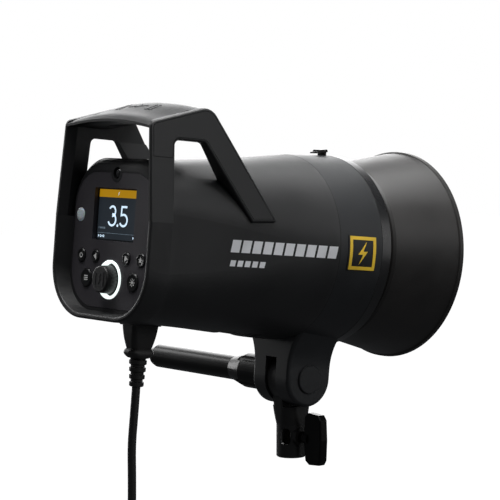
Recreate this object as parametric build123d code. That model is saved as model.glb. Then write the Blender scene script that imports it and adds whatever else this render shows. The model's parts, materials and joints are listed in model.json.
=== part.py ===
from build123d import *
from math import cos, pi, radians, sin, tan
import os

# A compact studio monolight strobe. Row frame, in millimetres: the origin is the centre of the
# stand socket's mouth, +Z is up along the socket's bore, the light shines towards -Y and the
# control panel faces +Y. The head is drawn level in a frame of its own and then tilted nose-down.
# Head frame: x across the barrel, s ahead of the control panel's face (y = -s), u above the
# barrel's axis (z = u).

# ---- driving dimensions -------------------------------------------------------------------
TILT = 5.3                # the head's nose-down tilt at rest, degrees
PIVOT_HEIGHT = 59.4       # tilt axis above the socket's mouth
PIVOT_S, PIVOT_U = 170.5, -95.4

WALL = 2.6                # moulded housing wall
RUN = 0.05                # radial running clearance of a shaft in its hole
SEAM = 0.2                # gap between neighbouring covers

SHROUD_REAR = -10.0       # rear edge of the frame that surrounds the control panel
SHROUD_FRONT = 6.9
HOUSING_FRONT = 149.6
CASTING_FRONT = 187.9
BAYONET_FRONT = 197.0
REFLECTOR_REAR = 191.7
REFLECTOR_SHOULDER = 206.1
REFLECTOR_RIM = 262.7

CASTING_R = 70.2          # outside radius at the casting's front edge
HOUSING_R = 68.0
REFLECTOR_R = 78.7
REFLECTOR_WALL = 1.6

PANEL_HALF, PANEL_TOP, PANEL_BOTTOM = 47.0, 44.0, -50.0
PANEL_THICK = 2.2
PANEL_GAP = 0.3           # all round the panel in its recess
DISPLAY = (49.0, 36.4)    # opening across and up
DISPLAY_U = 14.9
KNOB_U = -29.9
BUTTONS = {               # name: (x, u, radius); x is positive on the left seen from behind
    "power_button": (35.2, -14.8, 4.9),
    "star_button": (-35.2, -14.8, 4.9),
    "left_button": (18.3, -14.6, 4.5),
    "right_button": (-18.3, -14.6, 4.5),
    "menu_button": (27.5, -30.2, 6.5),
    "lamp_button": (-27.5, -30.2, 6.5),
}

ARM_THICK = 6.8
ARM_AT = 58.0             # x of an arm's outer face beside the panel, 10 above the barrel's axis
ARM_SPLAY, ARM_LEAN = 0.05, 0.0925     # how the outer face spreads forward and leans in upward
ARM_FOOT = 11.9           # height at which the arms grow out of the shroud
RIM = 3.4                 # the shroud's thickness at its rear edge
INLAY_BORDER, INLAY_DEPTH, INLAY_SEAM, INLAY_GAP = 2.2, 1.3, 55.6, 0.35

YOKE_HALF, YOKE_GAP, YOKE_R = 20.4, 6.0, 20.5
YOKE_CLEARANCE = 0.6      # between the yoke's ears and the stand adapter's shoulders
TONGUE_HALF, TONGUE_R = 5.2, 19.0
STEM_HALF = 14.0          # half the width of the tongue's stem, front to back
SOCKET_R, SOCKET_BORE, SOCKET_DEPTH = 11.0, 8.05, 34.0
CLAMP_Z = 16.0
WINDOW_TURN = 26.0        # the cross window's turn from front-to-back, degrees
BOLT_R = 4.0
SCREW_ANGLES = (5, 60, 280, 325)   # housing screws, from +X towards the top

CORD_R = 3.0
PLUG_S = 29.2             # the mains inlet's place along the barrel
RELIEF_END = -103.0
COIL_R, COIL_BUNDLE = 36.0, 12.5
COIL_AT = (0.0, 108.0, -76.0)


# ---- helpers --------------------------------------------------------------------------------
def across(s):
    """A plane across the barrel at s; sketches on it are (x, u) and extrude forward."""
    return Plane(origin=(0, -s, 0), x_dir=(1, 0, 0), z_dir=(0, -1, 0))


SIDE = Plane(origin=(0, 0, 0), x_dir=(0, -1, 0), z_dir=(-1, 0, 0))   # sketches are (s, u)
BARREL = across(0)


def pivot_axis(x):
    """A plane across the tilt axis at x, in the head frame; its normal is +X."""
    return Plane(origin=(x, -PIVOT_S, PIVOT_U), x_dir=(0, 1, 0), z_dir=(1, 0, 0))


def turned(outline, plane=BARREL):
    """A solid of revolution about the plane's normal, from (height, radius) points."""
    face = make_face(Polyline(*[(r, 0, h) for h, r in outline], close=True))
    return plane.location * revolve(face, Axis.Z)


def rod(radius, start, end, plane=BARREL, x=0.0, y=0.0):
    """A round bar along the plane's normal from height start to height end."""
    return plane.location * Pos(x, y, (start + end) / 2) * Cylinder(radius, end - start)


def block(x, s, u):
    """A box of the head frame, given as three (low, high) pairs."""
    size = [b - a for a, b in (x, s, u)]
    middle = ((x[0] + x[1]) / 2, -(s[0] + s[1]) / 2, (u[0] + u[1]) / 2)
    return Pos(*middle) * Box(*size)


def rounded(s, half, top, bottom, radius):
    """A rounded rectangle across the barrel at s."""
    return across(s) * Pos(0, (top + bottom) / 2) * RectangleRounded(2 * half, top - bottom, radius)


def arch(half, top, bottom, top_radius, bottom_radius):
    """A flat panel's outline: an upright rectangle with two sizes of corner."""
    plain = Pos(0, (top + bottom) / 2) * Rectangle(2 * half, top - bottom)
    plain = fillet(plain.vertices().group_by(Axis.Y)[-1], top_radius)
    return fillet(plain.vertices().sort_by(Axis.Y)[:2], bottom_radius)


def soften(shape, edges, radius):
    """The shape with the edges rounded, at a smaller radius if the full one doesn't fit."""
    for share in (1.0, 0.7, 0.4):
        try:
            softer = shape.fillet(radius * share, edges)
            if softer.is_valid:
                return softer
        except (ValueError, RuntimeError):
            pass
    print("left sharp:", len(edges), "edges")
    return shape


def mirrored(shape):
    return mirror(shape, about=Plane.YZ)


def group(parts):
    """Separate solids that share one node."""
    return Compound(children=[s for p in parts for s in p.solids()])


# ---- housing --------------------------------------------------------------------------------
SHELL = [   # s, half width, top, bottom, corner radius of the housing's outside
    (SHROUD_FRONT, 57.5, 54.0, -58.6, 36.0),
    (50.0, 57.9, 56.1, -60.6, 42.0),
    (100.0, 61.4, 61.3, -65.0, 54.0),
    (HOUSING_FRONT, HOUSING_R, HOUSING_R, -HOUSING_R, HOUSING_R - 0.1),
]
NECK = [    # the same for the narrower rear end, whose shoulder rounds over to the control panel
    (0.0, 47.7, 45.4, -51.4, 26.6),
    (0.5, 48.6, 48.0, -52.9, 27.6),
    (1.6, 49.3, 50.3, -54.1, 28.4),
    (3.4, 49.8, 52.3, -55.0, 29.2),
    (6.2, 50.1, 53.5, -55.5, 29.7),
    (SHROUD_FRONT, 50.2, 54.0, -55.6, 30.0),
]


def skin(stations, inset=0.0, ruled=False):
    """The solid inside the given stations, drawn in by inset."""
    return loft([rounded(s, half - inset, top - inset, bottom + inset, r - inset)
                 for s, half, top, bottom, r in stations], ruled=ruled)


def panel_outline(inset=0.0):
    notch = Pos(0, 43.5) * Circle(6.2 + inset)
    return arch(PANEL_HALF - inset, PANEL_TOP - inset, PANEL_BOTTOM + inset, 24 - inset, 27 - inset) - notch


OUTSIDE = skin(SHELL)
NECK_SOLID = skin(NECK, ruled=True)
VENT = ((-24.0, 24.0), (84.0, 120.0))       # x and s of the vent in the underside
INLET_HOLE = ((-12.0, 12.0), (PLUG_S - 16.5, PLUG_S + 16.5))


def main_housing():
    cavity = skin(SHELL, WALL) + extrude(rounded(3.0, 46.6, 47.6, -51.0, 25.0), SHROUD_FRONT - 2.0)
    body = OUTSIDE + NECK_SOLID - cavity
    body -= extrude(across(0) * panel_outline(), PANEL_THICK)
    body -= extrude(across(0) * panel_outline(2.5), 5)
    body -= rod(4.2, -1, 6, x=0, y=43.5)
    body -= block(VENT[0], VENT[1], (-80, -40))
    body -= block(INLET_HOLE[0], INLET_HOLE[1], (-80, -40))
    for angle in SCREW_ANGLES:       # screw holes into the casting's lip
        body -= Plane(origin=(0, -146.4, 0), z_dir=(cos(radians(angle)), 0, sin(radians(angle)))).location \
            * Pos(0, 0, 66) * Cylinder(1.6, 12)
    return body


def vent_grille():
    wall = skin(SHELL, 0.9) - skin(SHELL, WALL)
    low, high = VENT[1]
    plate = wall & block((VENT[0][0] + SEAM, VENT[0][1] - SEAM), (low + SEAM, high - SEAM), (-80, -40))
    slots = [block((-21, 21), (low + 4 + 4.6 * i, low + 6.2 + 4.6 * i), (-80, -40)) for i in range(7)]
    webs = [block((x - 1, x + 1), (low, high), (-80, -40)) for x in (-7.5, 7.5)]
    return plate - (slots[0] + slots[1:] - webs)


def arm_slab(depth):
    """The space from the left arm's outer face to depth under that face."""
    face = Plane(origin=(ARM_AT, 0, 10), x_dir=(0, 1, 0), z_dir=(1, ARM_SPLAY, ARM_LEAN))
    return face.location * Pos(0, 0, -depth / 2) * Box(500, 500, depth)


def beyond(origin, normal):
    """The space on the outer side of a plane inside the left arm."""
    face = Plane(origin=origin, x_dir=(0, 1, 0), z_dir=normal)
    return face.location * Pos(0, 0, 60) * Box(500, 500, 120)


def arm_space(extra=0.0):
    """Where the left arm may be: a slab whose inner side thins towards the rear rim like the shroud's."""
    funnel = beyond((48.4 - extra, 0, ARM_FOOT), (1, -0.56, ARM_LEAN))
    return arm_slab(ARM_THICK + extra) & funnel


def arm_profile():
    """Side view of an arm: upright, top rail and the brace down to the housing, as (s, u)."""
    outer = [(-10, 4), (-11.4, 78.4), (37.7, 92.9), (95.6, 17.4), (73.5, 16)]
    inner = [(32.7, 67.7), (8.4, 67.6), (8.4, 4)]
    face = make_face(Polyline(*outer, *inner, close=True))
    for place, radius in ((outer[1], 5), (outer[2], 12), (inner[0], 4), (inner[1], 4),
                          (outer[3], 1.6), (outer[4], 1.6)):
        corner = face.vertices().sort_by_distance((*place, 0))[0]
        face = fillet(corner, radius)
    return face


def inlay(gap=0.0):
    """The cover let into an arm's outer face, or with a gap the pocket it lies in."""
    below = INLAY_SEAM - gap
    face = offset(arm_profile(), gap - INLAY_BORDER) - Pos(0, below / 2 - 20) * Rectangle(40, below + 40)
    return extrude(SIDE * face, -90) & arm_slab(INLAY_DEPTH)


def handle_frame():
    """The shroud round the control panel, with both arms, in one moulding."""
    half = ARM_AT + ARM_SPLAY * SHROUD_REAR - 0.1
    outer = loft([rounded(SHROUD_REAR, half, 60, -58.0, 37.5),
                  rounded(SHROUD_FRONT, half + 0.8, 60, -58.6, 36.0)], ruled=True)
    inner = loft([rounded(SHROUD_REAR, half - RIM, 62, -54.6, 34.5), rounded(0, 48.4, 62, -52.4, 28.0)], ruled=True)
    ring = outer - inner
    ring = soften(ring, ring.edges().group_by(Axis.Y)[-1], 1.5)
    ring -= block((-80, 80), (-20, 20), (ARM_FOOT, 90))
    side = extrude(SIDE * arm_profile(), -90)
    brace = side & beyond((45.5, 0, 43), (1, 0, -0.092)) & arm_slab(20) & block((0, 90), (20, 110), (0, 67))
    arm = (side & arm_space()) + brace
    outside = arm.faces().filter_by(lambda f: f.normal_at().X > 0.9).sort_by(SortBy.AREA)[-1]
    arm = soften(arm, outside.edges(), 1.5)
    arm = arm - inlay(INLAY_GAP) - block((-80, 80), (-20, 12), (-60, ARM_FOOT)) - OUTSIDE
    frame = ring + arm + mirrored(arm)
    return frame - OUTSIDE - NECK_SOLID


def top_plate_section(s, side, crown, under_side, under_crown):
    half = 48.5
    top = ThreePointArc((-half, side), (0, crown), (half, side))
    under = ThreePointArc((-half, under_side), (0, under_crown), (half, under_side))
    ends = [Line((x, side), (x, under_side)) for x in (-half, half)]
    return across(s) * make_face([top, under, *ends])


def handle_top_plate():
    plate = loft([top_plate_section(*row) for row in (
        (-11.2, 75.8, 80.0, 74.2, 78.2),
        (-9.4, 77.2, 81.9, 73.8, 77.7),
        (-5.4, 79.0, 84.0, 73.8, 77.3),
        (12.0, 84.2, 90.0, 74.2, 77.6),
        (30.0, 89.6, 94.6, 76.6, 80.0),
        (40.0, 89.0, 93.4, 80.0, 83.4),
        (45.5, 84.5, 88.4, 82.0, 85.0))])
    recess = loft([across(8) * Pos(0, 70) * RectangleRounded(62, 17.6, 3),
                   across(36) * Pos(0, 72) * RectangleRounded(62, 17.6, 3)])
    space = arm_space(0.05)
    return plate - recess - space - mirrored(space)


# ---- control panel --------------------------------------------------------------------------
def control_panel():
    face = panel_outline(PANEL_GAP)
    face -= Pos(0, DISPLAY_U) * RectangleRounded(*DISPLAY, 0.8)
    face -= Pos(0, KNOB_U) * Circle(13.5)
    face -= Pos(40.2, 13.6) * Circle(5.1)
    for x, u, radius in BUTTONS.values():
        face -= Pos(x, u) * Circle(radius + 0.3)
    return extrude(across(0) * face, PANEL_THICK)


def button(x, u, radius):
    """A cap with a shallow dish, a flange that keeps it behind the panel, and a stem."""
    edge = 0.6
    cap = [(-0.5, 0), (-0.6, radius * 0.55), (-1.0, radius - edge - 0.4), (-0.9, radius - edge),
           (-0.3, radius), (2.3, radius), (2.3, radius + 0.9), (3.1, radius + 0.9), (3.1, 1.5),
           (5.0, 1.5), (5.0, 0)]
    return turned(cap, Plane(origin=(x, 0, u), x_dir=(1, 0, 0), z_dir=(0, -1, 0)))


def knob_plane():
    return Plane(origin=(0, 0, KNOB_U), x_dir=(1, 0, 0), z_dir=(0, -1, 0))


def control_knob():
    cap = turned([(-8.6, 0), (-8.6, 8.2), (-8.2, 9.0), (-7.4, 9.4), (-0.5, 9.8), (-0.5, 0)], knob_plane())
    grooves = [knob_plane().location * Rot(0, 0, a) * Pos(9.95, 0, -3.9) * Cylinder(0.45, 6)
               for a in range(0, 360, 15)]
    return cap - grooves - rod(3.0, -6.0, 0, knob_plane())


def encoder_shaft():
    return turned([(-6.0, 0), (-6.0, 3.0), (9.8, 3.0), (9.8, 0)], knob_plane())


def encoder_bushing():
    return turned([(1.2, 3 + RUN), (1.2, 5.2), (6.6, 5.2), (6.6, 3 + RUN)], knob_plane())


def knob_light_ring():
    return turned([(-0.7, 11.6), (-0.9, 12.0), (-0.9, 13.0), (-0.6, 13.4), (2.3, 13.4), (2.3, 14.6),
                   (3.4, 14.6), (3.4, 11.6)], knob_plane())


def display_gasket():
    frame = Pos(0, DISPLAY_U) * (Rectangle(53, 39.2) - RectangleRounded(*DISPLAY, 0.8))
    return extrude(across(PANEL_THICK) * frame, 1.1)


def display_window():
    return block((-26.5, 26.5), (3.3, 4.4), (DISPLAY_U - 19.6, DISPLAY_U + 19.6))


def display_module():
    lcd = block((-26.0, 26.0), (4.4, 6.9), (DISPLAY_U - 20.5, DISPLAY_U + 19.4))
    return lcd + block((-10, 10), (5.2, 7.9), (DISPLAY_U - 23.5, DISPLAY_U - 20.5))


def sensor_cover():
    return turned([(-0.5, 0), (-0.35, 3.2), (0.1, 4.8), (2.0, 4.9), (2.0, 0)],
                  Plane(origin=(40.2, 0, 13.6), x_dir=(1, 0, 0), z_dir=(0, -1, 0)))


def photocell_lens():
    middle = Pos(0, -3.6, 43.5) * Sphere(3.7)
    return middle + rod(3.7, 3.6, 7.5, x=0, y=43.5)


def control_board():
    board = extrude(across(8.0) * arch(43.5, 42, -46.5, 22, 24), 1.6)
    return board - rod(6.4, 7, 11, x=0, y=KNOB_U)


def tact_switches():
    return group([block((x - 3, x + 3), (5.8, 8.0), (u - 3, u + 3)) for x, u, _ in BUTTONS.values()])


def rotary_encoder():
    return block((-6.5, 6.5), (10.8, 16.5), (KNOB_U - 6.5, KNOB_U + 6.5))


# ---- inside the barrel ----------------------------------------------------------------------
FAN_S = 56.0
FAN_DEPTH = 15.0
BULKHEAD_S = 72.0


def internal_chassis():
    bulkhead = extrude(rounded(BULKHEAD_S, 47, 47, -47, 24), 2)
    bulkhead -= rod(27.5, BULKHEAD_S - 1, BULKHEAD_S + 4)
    rails = [block((x, x + 1.6), (14, 180), (-24, 24)) for x in (-48.6, 47.0)]
    feet = [block(x, (179, 184.9), (-24, 24)) for x in ((-54, -44.4), (44.4, 54))]
    return bulkhead + rails + feet


def fan_frame():
    frame = extrude(rounded(FAN_S, 30, 30, -30, 4), FAN_DEPTH)
    frame -= rod(28.0, FAN_S - 1, FAN_S + FAN_DEPTH + 1)
    frame += rod(11.0, FAN_S + 12.5, FAN_S + FAN_DEPTH)
    for angle in (45, 135, 225, 315):
        spoke = Pos(0, -(FAN_S + 13.7), 0) * Rot(0, angle, 0) * Pos(19.5, 0, 0) * Box(19, 2.6, 3)
        frame += spoke
    for x in (-25, 25):
        for u in (-25, 25):
            frame -= rod(2.2, FAN_S - 1, FAN_S + FAN_DEPTH + 1, x=x, y=u)
    return frame + rod(1.5, FAN_S + 3.5, FAN_S + 13)


def fan_rotor():
    hub = turned([(FAN_S + 1.0, 0), (FAN_S + 1.0, 11.2), (FAN_S + 1.8, 12), (FAN_S + 11.9, 12),
                  (FAN_S + 11.9, 1.5 + RUN), (FAN_S + 3.2, 1.5 + RUN), (FAN_S + 3.2, 0)])
    rotor = hub
    for i in range(7):
        blade = Pos(0, -(FAN_S + 6.3), 0) * Rot(0, i * 360 / 7, 0) * Pos(19.0, 0, 0) * Rot(35, 0, 0) \
            * Box(15.6, 1.3, 12.0)
        rotor += blade & rod(27.0, FAN_S + 1, FAN_S + 11.5)
    return rotor


def capacitors():
    can = 17.0
    cans = []
    for x in (-18.5, 18.5):
        for u in (-18.5, 18.5):
            axis = Plane(origin=(x, 0, u), x_dir=(1, 0, 0), z_dir=(0, -1, 0))
            cans.append(turned([(84, 0), (84, can - 1), (85, can), (168, can), (168.8, can - 1),
                                (168.8, can - 3), (167.8, can - 4), (167.8, 0)], axis))
    return group(cans)


def power_board():
    return block((-36, 36), (78, 172), (-49.6, -48.0))


def transformer():
    core = block((-16, 16), (124, 156), (-48.0, -37.4))
    return core + [block((-18, 18), (128, 152), (-47, -41))]


def heat_sink():
    sink = block((-26, 26), (86, 146), (38.5, 41.5))
    return sink + [block((x - 0.8, x + 0.8), (86, 146), (41.5, 50)) for x in range(-24, 25, 8)]


def mains_inlet():
    body = block((-11.8, 11.8), (PLUG_S - 16.3, PLUG_S + 16.3), (-59.6, -37))
    body -= block((-8.2, 8.2), (PLUG_S - 12.2, PLUG_S + 12.2), (-62, -40))
    return body - inlet_pins(0.02).solids()


def inlet_pins(extra=0.0):
    """The inlet's three blades; extra widens them into the plug's three contact slots."""
    spots = ((-2.0, -7.0), (2.0, 0.0), (-2.0, 7.0))
    return group([block((x - 2 - extra, x + 2 + extra), (PLUG_S + s - 1 - extra, PLUG_S + s + 1 + extra),
                        (-54 - extra, -36.5)) for x, s in spots])


# ---- mains lead -----------------------------------------------------------------------------
def under(u):
    """A plane under the housing at height u, centred on the inlet; sketches are (x, -s)."""
    return Plane(origin=(0, -PLUG_S, u), x_dir=(1, 0, 0), z_dir=(0, 0, 1))


def mains_plug():
    insert = block((-8.0, 8.0), (PLUG_S - 12, PLUG_S + 12), (-60.8, -41))
    body = loft([under(-60.8) * RectangleRounded(15.2, 22.2, 2.4), under(-69.5) * RectangleRounded(14.2, 20.2, 3.4),
                 under(-77.0) * RectangleRounded(12.0, 16.6, 4.0)])
    lip = loft([under(-77.0) * RectangleRounded(12.4, 17.2, 4.0), under(-79.2) * RectangleRounded(14.6, 20.6, 5.4),
                under(-83.4) * RectangleRounded(13.0, 14.4, 6.0)])
    plug = insert + body + lip
    return plug - inlet_pins(0.1).solids()


def plug_strain_relief():
    """Four ribs that shrink towards the cord."""
    outline = [(0.0, 0.0), (0.0, 6.0)]
    for i in range(4):
        top, r = 0.9 + 5.1 * i, 6.3 - 0.36 * i
        outline += [(top, r - 1.0), (top + 0.6, r), (top + 3.3, r - 0.1), (top + 3.9, r - 1.3)]
    outline += [(-83.4 - RELIEF_END, 4.2), (-83.4 - RELIEF_END, 0.0)]
    return turned(outline, Plane(origin=(0, -PLUG_S, -83.4), x_dir=(1, 0, 0), z_dir=(0, 0, -1)))


LEAD = [    # row frame, from the strain relief's end down into the coil
    (0.0, 141.40, 64.88),
    (0.0, 143.30, 44.4),
    (0.0, 145.30, 24.0),
    (0.0, 145.20, 0.0),
    (0.0, 145.40, -24.0),
    (0.0, 144.80, -48.0),
]
TAIL = [    # row frame, from the coil down into the wall plug
    (9.0, 143.2, -92.0),
    (10.4, 145.4, -104.0),
    (10.0, 146.8, -117.0),
]


def cord(points, name):
    """A tube of straight runs joined by arcs, each as large as its two runs allow."""
    points = [Vector(*p) for p in points]
    radii = []
    for before, at, after in zip(points, points[1:], points[2:]):
        turn = radians((at - before).get_angle(after - at))
        radii.append(0.45 * min((at - before).length, (after - at).length) / tan(turn / 2))
    path = FilletPolyline(*points, radius=radii)
    start = Plane(origin=path @ 0, z_dir=path % 0)
    tube = sweep(start * Circle(CORD_R), path=path)
    share = tube.volume / (pi * CORD_R ** 2 * path.length)
    print(name, "arc radii", [round(r, 1) for r in radii], "volume / (section x length)", round(share, 4))
    return tube


def cord_coil():
    centre = Plane(origin=COIL_AT, x_dir=(0, 1, 0), z_dir=(1, 0, 0))
    return centre.location * Torus(COIL_R, COIL_BUNDLE)


def coil_tie():
    x, y, z = COIL_AT
    frame = Plane(origin=(x, y, z + COIL_R), x_dir=(1, 0, 0), z_dir=(0, 1, 0))
    return turned([(-7, 13.7), (-7, 14.9), (7, 14.9), (7, 13.7)], frame)


WALL_PLUG = Plane(origin=TAIL[-1], x_dir=(1, 0, 0), z_dir=(0, 0, -1))
WALL_PIN_X = 9.5


def wall_plug():
    body = turned([(0, 0), (0, 4.4), (12, 6.2), (17, 9.0), (24, 17.0), (27, 18.4), (40, 18.4), (41, 17.6),
                   (41, 0)], WALL_PLUG)
    return body - [rod(2.4, 40, 42, WALL_PLUG, x=x) for x in (-WALL_PIN_X, WALL_PIN_X)]


def wall_plug_pins():
    pin = turned([(40, 0), (40, 2.4), (58.5, 2.4), (59.8, 1.2), (59.8, 0)], WALL_PLUG)
    return group([Pos(x, 0, 0) * pin for x in (-WALL_PIN_X, WALL_PIN_X)])


# ---- front casting, yoke and bayonet ---------------------------------------------------------
def front_casting():
    ring = turned([(143.5, 62.0), (143.5, 64.0), (HOUSING_FRONT, 64.0), (HOUSING_FRONT, HOUSING_R),
                   (CASTING_FRONT, CASTING_R), (CASTING_FRONT, 44.0), (184.9, 44.0), (184.9, 67.2),
                   (153.0, 65.4), (152.0, 62.0)])
    side = make_face(Polyline((150, -40), (150, PIVOT_U), (191, PIVOT_U), (191, -40), close=True)) \
        + Pos(PIVOT_S, PIVOT_U) * Circle(YOKE_R)
    left = [Line((0, -45), (37, -45)), Line((37, -45), (37, -56)),
            TangentArc((YOKE_HALF, -88), (37, -56), tangent=(0, 1)),
            Line((YOKE_HALF, -88), (YOKE_HALF, -120)), Line((YOKE_HALF, -120), (0, -120)),
            Line((0, -120), (0, -45))]
    half = make_face(left)
    front = half + mirror(half, about=Plane.YZ)
    yoke = extrude(across(145) * front, 50) & extrude(SIDE * side, 60, both=True)
    yoke = soften(yoke, yoke.edges().filter_by(lambda e: abs(abs(e.center().X) - YOKE_HALF) < 0.01
                                               and e.geom_type == GeomType.CIRCLE), 2.6)
    yoke -= block((-YOKE_GAP, YOKE_GAP), (140, 200), (-130, PIVOT_U + STEM_HALF + 0.8))
    yoke -= rod(TONGUE_R + 0.6, -YOKE_GAP, YOKE_GAP, pivot_axis(0))
    yoke -= rod(66.6, 140, CASTING_FRONT)
    yoke -= rod(CASTING_R + 0.5, CASTING_FRONT, 200)
    rails = [block((x, x + 2.4), (158, 185.5), (58.2, 66.0)) for x in (-9.4, 7.0)]
    casting = ring + yoke + rails
    casting -= rod(BOLT_R, -40, 40, pivot_axis(0))
    casting -= rod(8.3, -24, -12.6, pivot_axis(0))
    casting -= rod(10.7, -24, -YOKE_HALF, pivot_axis(0))
    casting -= block((-4.6, 4.6), (178.6, 187.0), (60, 75))             # slot for the latch's tab
    casting -= block((-7.4, 7.4), (184, 189), (59.8, 62.4))             # way through for the latch's nose
    for angle in SCREW_ANGLES:
        casting -= Plane(origin=(0, -146.4, 0), z_dir=(cos(radians(angle)), 0, sin(radians(angle)))).location \
            * Pos(0, 0, 62) * Cylinder(1.2, 8)
    for angle in (45, 135, 225, 315):
        casting -= rod(1.2, 184, 189, x=47.6 * cos(radians(angle)), y=47.6 * sin(radians(angle)))
    return casting


def bayonet_ring():
    """The accessory mount: a groove for three lugs behind a lip with three notches."""
    lip_r, groove_r = 58.2, 61.6
    ring = turned([(CASTING_FRONT, groove_r), (CASTING_FRONT, CASTING_R), (BAYONET_FRONT - 0.6, CASTING_R - 0.1),
                   (BAYONET_FRONT, CASTING_R - 0.7), (BAYONET_FRONT, lip_r), (194.4, lip_r), (194.4, groove_r)])
    for i in range(3):
        notch = extrude(across(194.0) * Rot(0, 0, 20 + 120 * i) * Pos(groove_r - 3, 0) * Rectangle(6, 24), 5)
        ring -= notch & rod(groove_r, 190, 200)
    return ring - block((-7.4, 7.4), (187, 191.4), (55, 62.4))


def latch_slide():
    """A bent sheet: a plate under the casting's skin, a leg through its slot, and a thumb tab."""
    plate = block((-6.5, 6.5), (160, 191.2), (60.2, 61.8))
    leg = block((-4.0, 4.0), (184.0, 185.6), (61.8, 73.4))
    tab = make_face(Polyline((176.4, 70.9), (176.7, 72.0), (178.6, 72.5), (179.8, 73.9), (186.0, 74.6), (186.8, 73.8),
                             (186.8, 72.6), (181.0, 72.0), (180.0, 71.6), (177.4, 71.2), close=True))
    return plate + leg + extrude(SIDE * tab, 4.0, both=True)


def emblem_plate():
    """A thin square plate let into the casting's right side, curved to its skin."""
    outer, inner = (turned([(150, 0), (150, r), (188, r + 1.9), (188, 0)]) for r in (68.55, 66.9))
    casting_side = block((-90, 0), (156.6, 182.1), (-12.6, 12.6))
    return (outer - inner) & casting_side


def tube_base():
    base = turned([(181.5, 0), (181.5, 43.8), (CASTING_FRONT, 43.8), (CASTING_FRONT, 52.0), (190.4, 52.0),
                   (190.9, 51.4), (190.9, 0)])
    return base


def base_screws():
    return group([turned([(190.9, 0), (190.9, 2.6), (192.2, 2.2), (192.6, 1.4), (192.6, 0)],
                         Plane(origin=(47.6 * cos(radians(a)), 0, 47.6 * sin(radians(a))), x_dir=(1, 0, 0),
                               z_dir=(0, -1, 0))) for a in (45, 135, 225, 315)])


def flash_tube():
    loop = Pos(0, -206.0, 0) * Rot(90, 0, 0) * Torus(27.0, 4.6)
    legs = [rod(4.0, 190.9, 206.0, x=0, y=u) for u in (-27.0, 27.0)]
    return loop + legs


def modelling_lamp():
    pedestal = turned([(190.9, 0), (190.9, 15.0), (196.0, 13.2), (199.0, 13.2), (199.0, 9.4), (200.4, 8.8),
                       (201.8, 6.8), (202.6, 3.6), (202.8, 0)])
    return pedestal


def glass_dome():
    r, wall = 37.6, 2.0
    start, spring = 190.9, 212.0
    outer = turned([(start, 0), (start, r), (spring, r), (spring, 0)])
    inner = turned([(start, 0), (start, r - wall), (spring, r - wall), (spring, 0)])
    cap = Pos(0, -spring, 0) * Rot(90, 0, 0) * Sphere(r)
    hollow = Pos(0, -spring, 0) * Rot(90, 0, 0) * Sphere(r - wall)
    front = rod(r + 1, spring, spring + 50)
    shell = (outer + (cap & front)) - (inner + (hollow & front))
    return shell


def reflector():
    """A spun bowl on a short neck, whose three lugs turn behind the bayonet's lip."""
    t = REFLECTOR_WALL
    outline = [(REFLECTOR_REAR, 54.6), (REFLECTOR_REAR, 57.6), (200.6, 57.6), (202.4, 61.4), (204.2, 64.2),
               (REFLECTOR_SHOULDER, 65.6), (258.4, 77.3), (259.0, 78.4), (262.0, REFLECTOR_R),
               (REFLECTOR_RIM, 78.0), (REFLECTOR_RIM, 76.4), (258.6, 75.8), (207.4, 64.0), (205.4, 62.6),
               (203.6, 59.6), (202.2, 54.6)]
    bowl = turned(outline)
    lugs = turned([(REFLECTOR_REAR, 57.0), (REFLECTOR_REAR, 60.9), (193.9, 60.9), (193.9, 57.0)])
    keep = [extrude(across(190) * Rot(0, 0, 120 * i) * Pos(58, 0) * Rectangle(12, 18), 6) for i in range(3)]
    return bowl + (lugs & (keep[0] + keep[1:]))


# ---- tilt pivot -----------------------------------------------------------------------------
def pivot_bolt():
    head = pivot_axis(0).location * Pos(0, 0, -15.4) * extrude(RegularPolygon(6.5, 6, major_radius=False), 2.8, both=True)
    return head + rod(BOLT_R, -13, 40, pivot_axis(0))


def pivot_cap():
    return turned([(-18.6, 0), (-18.6, 8.3), (-YOKE_HALF, 8.3), (-YOKE_HALF, 10.6), (-21.3, 10.6), (-21.9, 10.0),
                   (-21.9, 0)], pivot_axis(0))


def friction_washers():
    return group([turned([(a, BOLT_R + 0.2), (a, 12.0), (a + 0.7, 12.0), (a + 0.7, BOLT_R + 0.2)], pivot_axis(0))
                  for a in (-YOKE_GAP, YOKE_GAP - 0.7)])


def tilt_lever():
    lever = turned([(YOKE_HALF + 0.1, BOLT_R + RUN), (YOKE_HALF + 0.1, 9.5), (21.8, 9.5), (21.8, 12.6), (22.6, 13.3),
                    (48.0, 13.2), (51.5, 12.4), (64.5, 9.2), (163.0, 9.2), (166.8, 8.0), (169.2, 5.4),
                    (170.0, 2.0), (170.0, 0), (41.0, 0), (41.0, BOLT_R + RUN)], pivot_axis(0))
    flutes = [pivot_axis(0).location * Rot(0, 0, 45 + 90 * i) * Pos(14.6, 0, 40) * Cylinder(3.2, 26) for i in range(4)]
    return lever - flutes


# ---- stand adapter, in the row frame ----------------------------------------------------------
ROW_PIVOT = Plane(origin=(0, 0, PIVOT_HEIGHT), x_dir=(0, 1, 0), z_dir=(1, 0, 0))
CLAMP_AXIS = Plane(origin=(0, 0, CLAMP_Z), x_dir=(0, 1, 0), z_dir=(1, 0, 0))


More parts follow.
